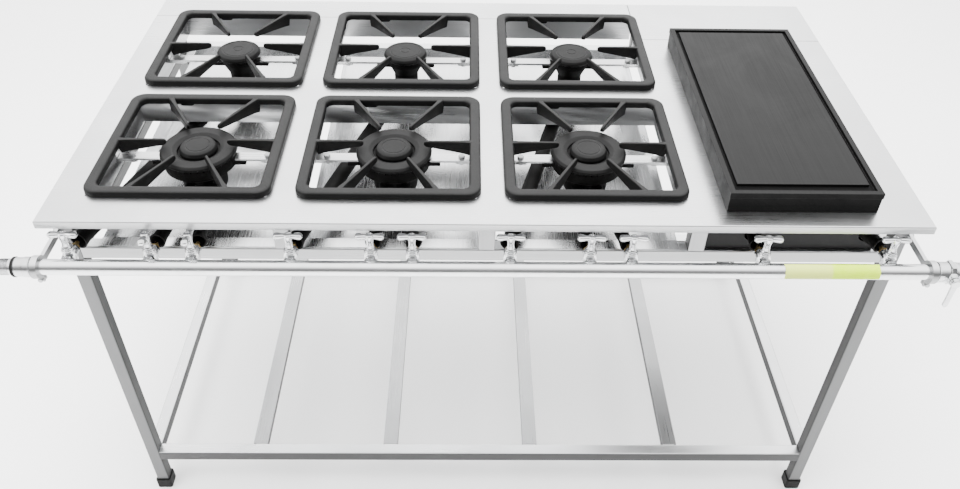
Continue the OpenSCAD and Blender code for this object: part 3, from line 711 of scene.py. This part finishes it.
GRATE_HALF, RIM_INNER = 150.0, 131.0   # from the grate's middle to its outer side and to the fingers' roots
FINGER_TIP = 52.0                      # from the middle to a finger's tip


def grate_rim():
    """Cast rim: a rounded square ring with a crowned top, rounded edges and drafted sides."""
    # (distance in from the outer side, height)
    section = [(0.9, 0.0), (0.2, 0.9), (0.4, 7.5), (1.2, 10.0), (3.0, 11.5), (6.0, 12.0), (14.0, 12.0),
               (17.0, 11.4), (18.8, 9.8), (19.6, 7.2), (19.9, 1.0), (19.2, 0.0)]
    rows = []
    for d, z in section:
        side, corner = 2 * (GRATE_HALF - d), 24.0 - d * 0.6
        rows.append([MM * Vector((x, y, z)) for x, y in pad(side, side, corner, 10)])
    bm = bmesh.new()
    loft(bm, rows, ring=True)
    return bm


def finger(bm, turn, reach):
    """Pan support: a deep blade at the rim that thins and rises towards its rounded tip."""
    rot = Matrix.Rotation(math.radians(turn), 3, "Z")
    # (distance from the tip, share of the full section)
    stations = [(0.0, 0.35), (0.8, 0.62), (2.2, 0.85), (4.5, 0.97), (8.0, 1.0), (16.0, 1.0)]
    stations += [(16.0 + (reach - FINGER_TIP - 16.0) * k / 7, 1.0) for k in range(1, 8)]
    sections = []
    for s, shrink in stations:
        t = s / (reach - FINGER_TIP)
        low = 1.6 - 15.4 * t ** 1.1
        high = 11.9 - 1.6 * (1 - shrink)
        wide = (7.4 + 3.4 * t + 3.0 * max(0.0, t - 0.86) / 0.14) * (0.45 + 0.55 * shrink)
        mid = (low + high) / 2 + (1 - shrink) * 1.5
        tall = (high - low) * shrink
        outline = pad(wide, tall, 2.2, 3, 0.66)
        sections.append([MM * (rot @ Vector((FINGER_TIP + s, y, mid + z))) for y, z in outline])
    last = [MM * (rot @ Vector((reach + 5.0, y * 0.9, max(0.8, mid + z)))) for y, z in outline]
    loft(bm, sections + [last])


def grate_spot(name):
    """Even grates stand as the mesh does and odd ones half a turn round, so that neighbours differ."""
    c = middle(name)
    turn = 180 * (int(name[-1]) % 2)
    return Matrix.Translation((c.x, c.y, TOP)) @ Matrix.Rotation(math.radians(turn), 4, "Z")


blades = bmesh.new()
for turn in range(0, 360, 60):
    slant = 1.0 if turn % 180 == 0 else math.sin(math.radians(60))
    finger(blades, turn, RIM_INNER / slant)
for turn in range(0, 360, 90):
    # A locating lug under each side of the rim.
    rot = Matrix.Rotation(math.radians(turn), 3, "Z")
    loft(blades, [[MM * (rot @ Vector((138 + x * f, 52 + y * f, z))) for x, y in pad(8, 24, 2.0)]
                  for z, f in ((-6.0, 0.78), (-4.6, 0.96), (1.0, 1.0))])
repeat_mesh(["grate_%d" % n for n in range(1, 7)], united(grate_rim(), blades), grate_iron,
            38, grate_spot)


# ---------------------------------------------------------------- griddle

bm = solids("griddle_plate")
bmesh.ops.bevel(bm, geom=[e for e in bm.edges if fold(e)], offset=1.3 * MM, segments=3, profile=0.5,
                affect="EDGES", clamp_overlap=True)
plate_lo, plate_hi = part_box("griddle_plate")
rim = 12 * MM
for f in bm.faces:
    c = f.calc_center_median()
    f.material_index = 0
    if plate_lo.x + rim < c.x < plate_hi.x - rim and plate_lo.y + rim < c.y < plate_hi.y - rim:
        f.material_index = 1 if c.z > plate_hi.z - 3 * MM else 2
finish_mesh("griddle_plate_seen", bm, [griddle_side, griddle_face, griddle_gutter], "griddle_plate",
            ["griddle_plate"])


# ---------------------------------------------------------------- gas line

pipe_lo, pipe_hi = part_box("manifold_pipe")
PY, PZ = (pipe_lo.y + pipe_hi.y) / 2, (pipe_lo.z + pipe_hi.z) / 2
length = (pipe_hi.x - pipe_lo.x) / MM
bm = bmesh.new()
tube = [(10.6, 0.0), (12.2, 0.0), (12.7, 0.6)] + [(12.7, length * k / 40) for k in range(1, 40)]
tube += [(12.7, length - 0.6), (12.2, length), (10.6, length), (10.6, 0.0)]
lathe(bm, tube, (pipe_lo.x, PY, PZ), "X", 64)
close_ring(bm)
finish_mesh("manifold_pipe_seen", bm, [pipe_chrome], "range", ["manifold_pipe"])

HANDLES = ["valve_handle_%d" % n for n in range(1, 12)]
spigot = rounded([(0, -19), (6.9, -19), (6.9, -8), (0, -8)], 0.5)
barrel = rounded([(0, -10), (8.2, -10), (9.3, -6), (9.3, 6), (8.4, 10), (8.4, 16), (0, 16)], 1.2)
plug = rounded([(0, -13), (8.2, -13), (10.2, -9.5), (11.2, -3), (11.2, 5), (10.0, 10), (10.2, 12.2),
                (10.2, 14.2), (9.0, 14.8), (9.0, 18), (4.3, 18), (4.3, 4), (0, 4)], 0.9)
pin = rounded([(0, -18.2), (2.6, -18.2), (3.0, -17.6), (3.0, -16), (0, -16)], 0.4)
bm = bmesh.new()
for name in HANDLES:
    at = Vector((middle(name).x, middle(HANDLES[0]).y, PZ))
    lathe(bm, spigot, at, "Y", 32)
    hexagon(bm, 20, -14, -9, at, "Y")
    lathe(bm, barrel, at, "Y", 40)
    hexagon(bm, 17, 13, 18, at, "Y")
    lathe(bm, plug, at, "Z", 48)
    hexagon(bm, 12, -16.5, -12.5, at, "Z")
    lathe(bm, pin, at, "Z", 24)
finish_mesh("valve_bodies_seen", bm, [chrome], "range", ["valve_bodies"], angle=36)


def wing():
    """Wing handle: a stem and skirted hub under a waisted grip with full, rounded ends."""
    bm = bmesh.new()
    hub = [(0, 5), (3.9, 5), (3.9, 18.3), (7.5, 18.3), (7.6, 20.2), (6.2, 22.5), (5.3, 28), (5.6, 34),
           (6.6, 39), (6.8, 45), (5.9, 47.4), (3.2, 48.0), (2.9, 46.9), (0, 46.9)]
    lathe(bm, rounded(hub, 0.9), (0, 0, 0), "Z", 48)
    grip = bmesh.new()
    grip_z = 43.4
    # (place along the grip, width, height)
    spine = [(-23.0, 3.0, 2.6), (-22.6, 6.4, 5.0), (-21.4, 9.6, 7.2), (-19.4, 11.6, 8.6), (-16.6, 12.0, 9.0),
             (-13.0, 10.8, 8.6), (-9.0, 8.8, 7.8), (-5.0, 8.0, 7.4), (0.0, 8.0, 7.4)]
    spine += [(-x, w, h) for x, w, h in reversed(spine[:-1])]
    rows = [[MM * Vector((x, y, grip_z + z)) for y, z in pad(w, h, 3.2, 4)] for x, w, h in spine]
    loft(grip, rows)
    return united(bm, grip)


def handle_spot(name):
    """A handle whose CAD box is longer front to back rests turned that way."""
    c = middle(name)
    lo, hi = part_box(name)
    turn = 90 if hi.y - lo.y > hi.x - lo.x else 0
    return Matrix.Translation((c.x, c.y, PZ)) @ Matrix.Rotation(math.radians(turn), 4, "Z")


repeat_mesh(HANDLES, wing(), chrome, 40, handle_spot)

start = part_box("inlet_coupling")[0].x
bm = bmesh.new()
sleeve = [(8.2, 0.5), (8.2, 0), (14.6, 0), (15.5, 1.2), (15.5, 12.2), (15.0, 13.0), (15.0, 13.8),
          (16.5, 14.6), (16.5, 23.0), (15.6, 24), (12.9, 24), (12.9, 9.5), (8.2, 9.0), (8.2, 0.5)]
lathe(bm, sleeve, (start, PY, PZ), "X", 64)
close_ring(bm)
loft(bm, [[Vector((start, PY, PZ)) + MM * Vector((19.2 + x * f, y * f, z)) for x, y in pad(6, 8, 1.5)]
          for z, f in ((-15.0, 1.0), (-20.5, 1.0), (-21.6, 0.8))])
finish_mesh("inlet_coupling_seen", bm, [chrome], "range", ["inlet_coupling"], angle=36)

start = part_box("inlet_nipple")[0].x
bm = bmesh.new()
nipple = [(9.5, 0.5), (10.0, 0), (11.8, 0)]
for k in range(8):
    nipple += [(12.2, 1.0 + 2.0 * k), (13.2, 2.0 + 2.0 * k)]
nipple += [(12.6, 17.0), (12.6, 21.0), (15.4, 21.0), (16.2, 21.8), (16.2, 25.2), (15.4, 26.0),
           (7.9, 26.0), (7.9, 34.0), (5.5, 34.0), (5.5, 17.0), (9.5, 17.0), (9.5, 0.5)]
lathe(bm, nipple, (start, PY, PZ), "X", 64)
close_ring(bm)
for f in bm.faces:
    c = f.calc_center_median()
    off_axis = math.hypot(c.y - PY, c.z - PZ)
    in_collar = start + 20.9 * MM < c.x < start + 26.1 * MM and off_axis > 12.7 * MM
    f.material_index = 1 if in_collar else 0
finish_mesh("inlet_nipple_seen", bm, [chrome, rubber], "range", ["inlet_nipple"], angle=30)

lo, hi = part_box("shutoff_cock")
lever = middle("shutoff_lever")
bm = bmesh.new()
end = (hi.x - lo.x) / MM
cock = [(0, 12.0), (12.9, 12.0), (12.9, 0), (16.0, 0), (17.0, 1.0), (17.0, 16.0), (15.8, 17.5), (0, 17.5)]
lathe(bm, cock, (lo.x, PY, PZ), "X", 64)
hexagon(bm, 34, 17, 26, (lo.x, PY, PZ), "X", 1.3)
outlet = [(0, 25), (15.0, 25), (16.5, 27.5), (16.5, 31), (15.9, 33), (15.9, end - 6), (16.4, end - 5),
          (16.4, end - 1.2), (15.2, end), (6, end), (5, end - 2), (0, end - 2)]
lathe(bm, rounded(outlet, 0.8), (lo.x, PY, PZ), "X", 64)
reach = (lo.y - PY) / MM
boss = [(0, -8), (10.2, -8), (9.6, -15), (9.0, -16), (9.0, reach), (4.3, reach), (4.3, -14), (0, -14)]
lathe(bm, rounded(boss, 0.7), (lever.x, PY, PZ), "Y", 48)
finish_mesh("shutoff_cock_seen", bm, [chrome], "range", ["shutoff_cock"], angle=36)

front = (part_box("shutoff_lever")[0].y - PY) / MM
bm = bmesh.new()
hub = [(0, front), (6.8, front), (7.9, front + 1.1), (7.9, front + 7.4), (3.95, front + 7.4),
       (3.95, front + 15.5), (0, front + 15.5)]
lathe(bm, rounded(hub, 0.5), (lever.x, PY, PZ), "Y", 40)
# (height from the axis, width)
blade = ((5.5, 6.0), (4.0, 9.4), (0.0, 10.4), (-12.0, 9.4), (-30.0, 8.4), (-40.0, 8.8), (-46.0, 8.8),
         (-48.6, 6.4), (-50.0, 2.4))
arm = bmesh.new()
loft(arm, [[Vector((lever.x, PY, PZ)) + MM * Vector((x, front + 3.6 + y, z)) for x, y in pad(w, 4.8, 1.6)]
           for z, w in blade])
finish_mesh("shutoff_lever_seen", united(bm, arm), [chrome], "shutoff_lever",
            ["shutoff_lever"], angle=36)

film_x = middle("blank_label").x
refined(["blank_label"], printed_film("label_film", film_x - 2 * MM, film_x + 2 * MM), 0.0)


# ---------------------------------------------------------------- weld beads

def bead(bm, start, end, r=1.0 * MM, pitch=1.6 * MM):
    """A rippled fillet weld along a line."""
    steps = max(3, int((end - start).length / pitch))
    for k in range(steps):
        spot = Matrix.Translation(start.lerp(end, (k + 0.5) / steps)) @ Matrix.Diagonal((r, r, r, 1))
        bmesh.ops.create_icosphere(bm, subdivisions=1, radius=1.0, matrix=spot)


bm = bmesh.new()
for rail in ("upper_front_rail", "shelf_cross_rails"):
    lo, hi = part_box(rail)
    y = lo.y + 1.4 * MM
    for x in (lo.x, hi.x):
        bead(bm, Vector((x, y, lo.z + 2 * MM)), Vector((x, y, hi.z - 2 * MM)))
finish_mesh("weld_beads", bm, [tube_z], "range", (), weighted=False)


# ---------------------------------------------------------------- studio

floor_mat = Shader("floor_white")
cloud = floor_mat.noise(floor_mat.coord, 1.4, 3.0, 0.5)
floor_mat.set(Base_Color=floor_mat.mix(cloud, (0.95, 0.95, 0.95, 1), (0.97, 0.97, 0.97, 1)), Roughness=0.75)
bm = bmesh.new()
bmesh.ops.create_grid(bm, x_segments=2, y_segments=2, size=30.0)
mesh = bpy.data.meshes.new("floor")
bm.to_mesh(mesh)
bm.free()
mesh.materials.append(floor_mat.mat)
floor = bpy.data.objects.new("floor", mesh)
bpy.context.scene.collection.objects.link(floor)

world = bpy.data.worlds.new("studio")
world.use_nodes = True
wt = world.node_tree
sky = wt.nodes.new("ShaderNodeSeparateXYZ")
wt.links.new(wt.nodes.new("ShaderNodeTexCoord").outputs["Generated"], sky.inputs[0])
band = wt.nodes.new("ShaderNodeValToRGB")
wt.links.new(sky.outputs["Z"], band.inputs["Fac"])
# Brightness by height: pale overhead and dark near the horizon. The next node dims the front.
stops = band.color_ramp.elements
stops[0].position, stops[0].color = 0.0, (0.34, 0.34, 0.345, 1)
stops[1].position, stops[1].color = 0.78, (1, 1, 1, 1)
for place, v in ((0.06, 0.28), (0.20, 0.58), (0.45, 0.76)):
    stops.new(place).color = (v, v, v, 1)
dim = wt.nodes.new("ShaderNodeMapRange")
wt.links.new(sky.outputs["Y"], dim.inputs["Value"])
for socket, v in (("From Min", -0.80), ("From Max", -0.30), ("To Min", 0.10), ("To Max", 1.0)):
    dim.inputs[socket].default_value = v
shade = wt.nodes.new("ShaderNodeMix")
shade.data_type = "RGBA"
wt.links.new(dim.outputs["Result"], shade.inputs[0])
shade.inputs[MIX_A].default_value = (0.02, 0.02, 0.02, 1)
wt.links.new(band.outputs["Color"], shade.inputs[MIX_B])
wt.links.new(shade.outputs[MIX_OUT], wt.nodes["Background"].inputs["Color"])
wt.nodes["Background"].inputs["Strength"].default_value = 3.9
bpy.context.scene.world = world


def softbox(name, place, target, size, power):
    """A rectangular area light at place, aimed at target and hidden from the camera."""
    lamp = bpy.data.lights.new(name, "AREA")
    lamp.shape = "RECTANGLE"
    lamp.size, lamp.size_y = size
    lamp.energy = power
    obj = bpy.data.objects.new(name, lamp)
    obj.location = place
    obj.rotation_euler = (Vector(target) - Vector(place)).to_track_quat("-Z", "Y").to_euler()
    obj.visible_camera = False
    bpy.context.scene.collection.objects.link(obj)
    return obj


softbox("overhead", (-0.2, 0.2, 3.6), (0, 0, 0), (3.6, 2.6), 460).visible_glossy = False
softbox("back", (0.0, 4.2, 3.0), (0, 0, 0.7), (5.4, 3.0), 70)
softbox("side", (-3.4, -1.6, 2.6), (0, 0, 0.6), (1.4, 2.2), 60)

cam_data = bpy.data.cameras.new("camera")
cam_data.lens = 32.30
cam_data.sensor_width = 36.0
cam = bpy.data.objects.new("camera", cam_data)
turn = Vector((0.716205, -0.0127441, 0.0116404))   # the photo's viewing direction, as a rotation vector
aim = Matrix.Rotation(turn.length, 3, turn) @ Matrix(((1, 0, 0), (0, 0, -1), (0, 1, 0)))
axes = Matrix((aim[0], -aim[1], -aim[2])).transposed()
cam.matrix_world = Matrix.Translation((-0.0316, -1.3793, 1.6404)) @ axes.to_4x4()
bpy.context.scene.collection.objects.link(cam)
bpy.context.scene.camera = cam
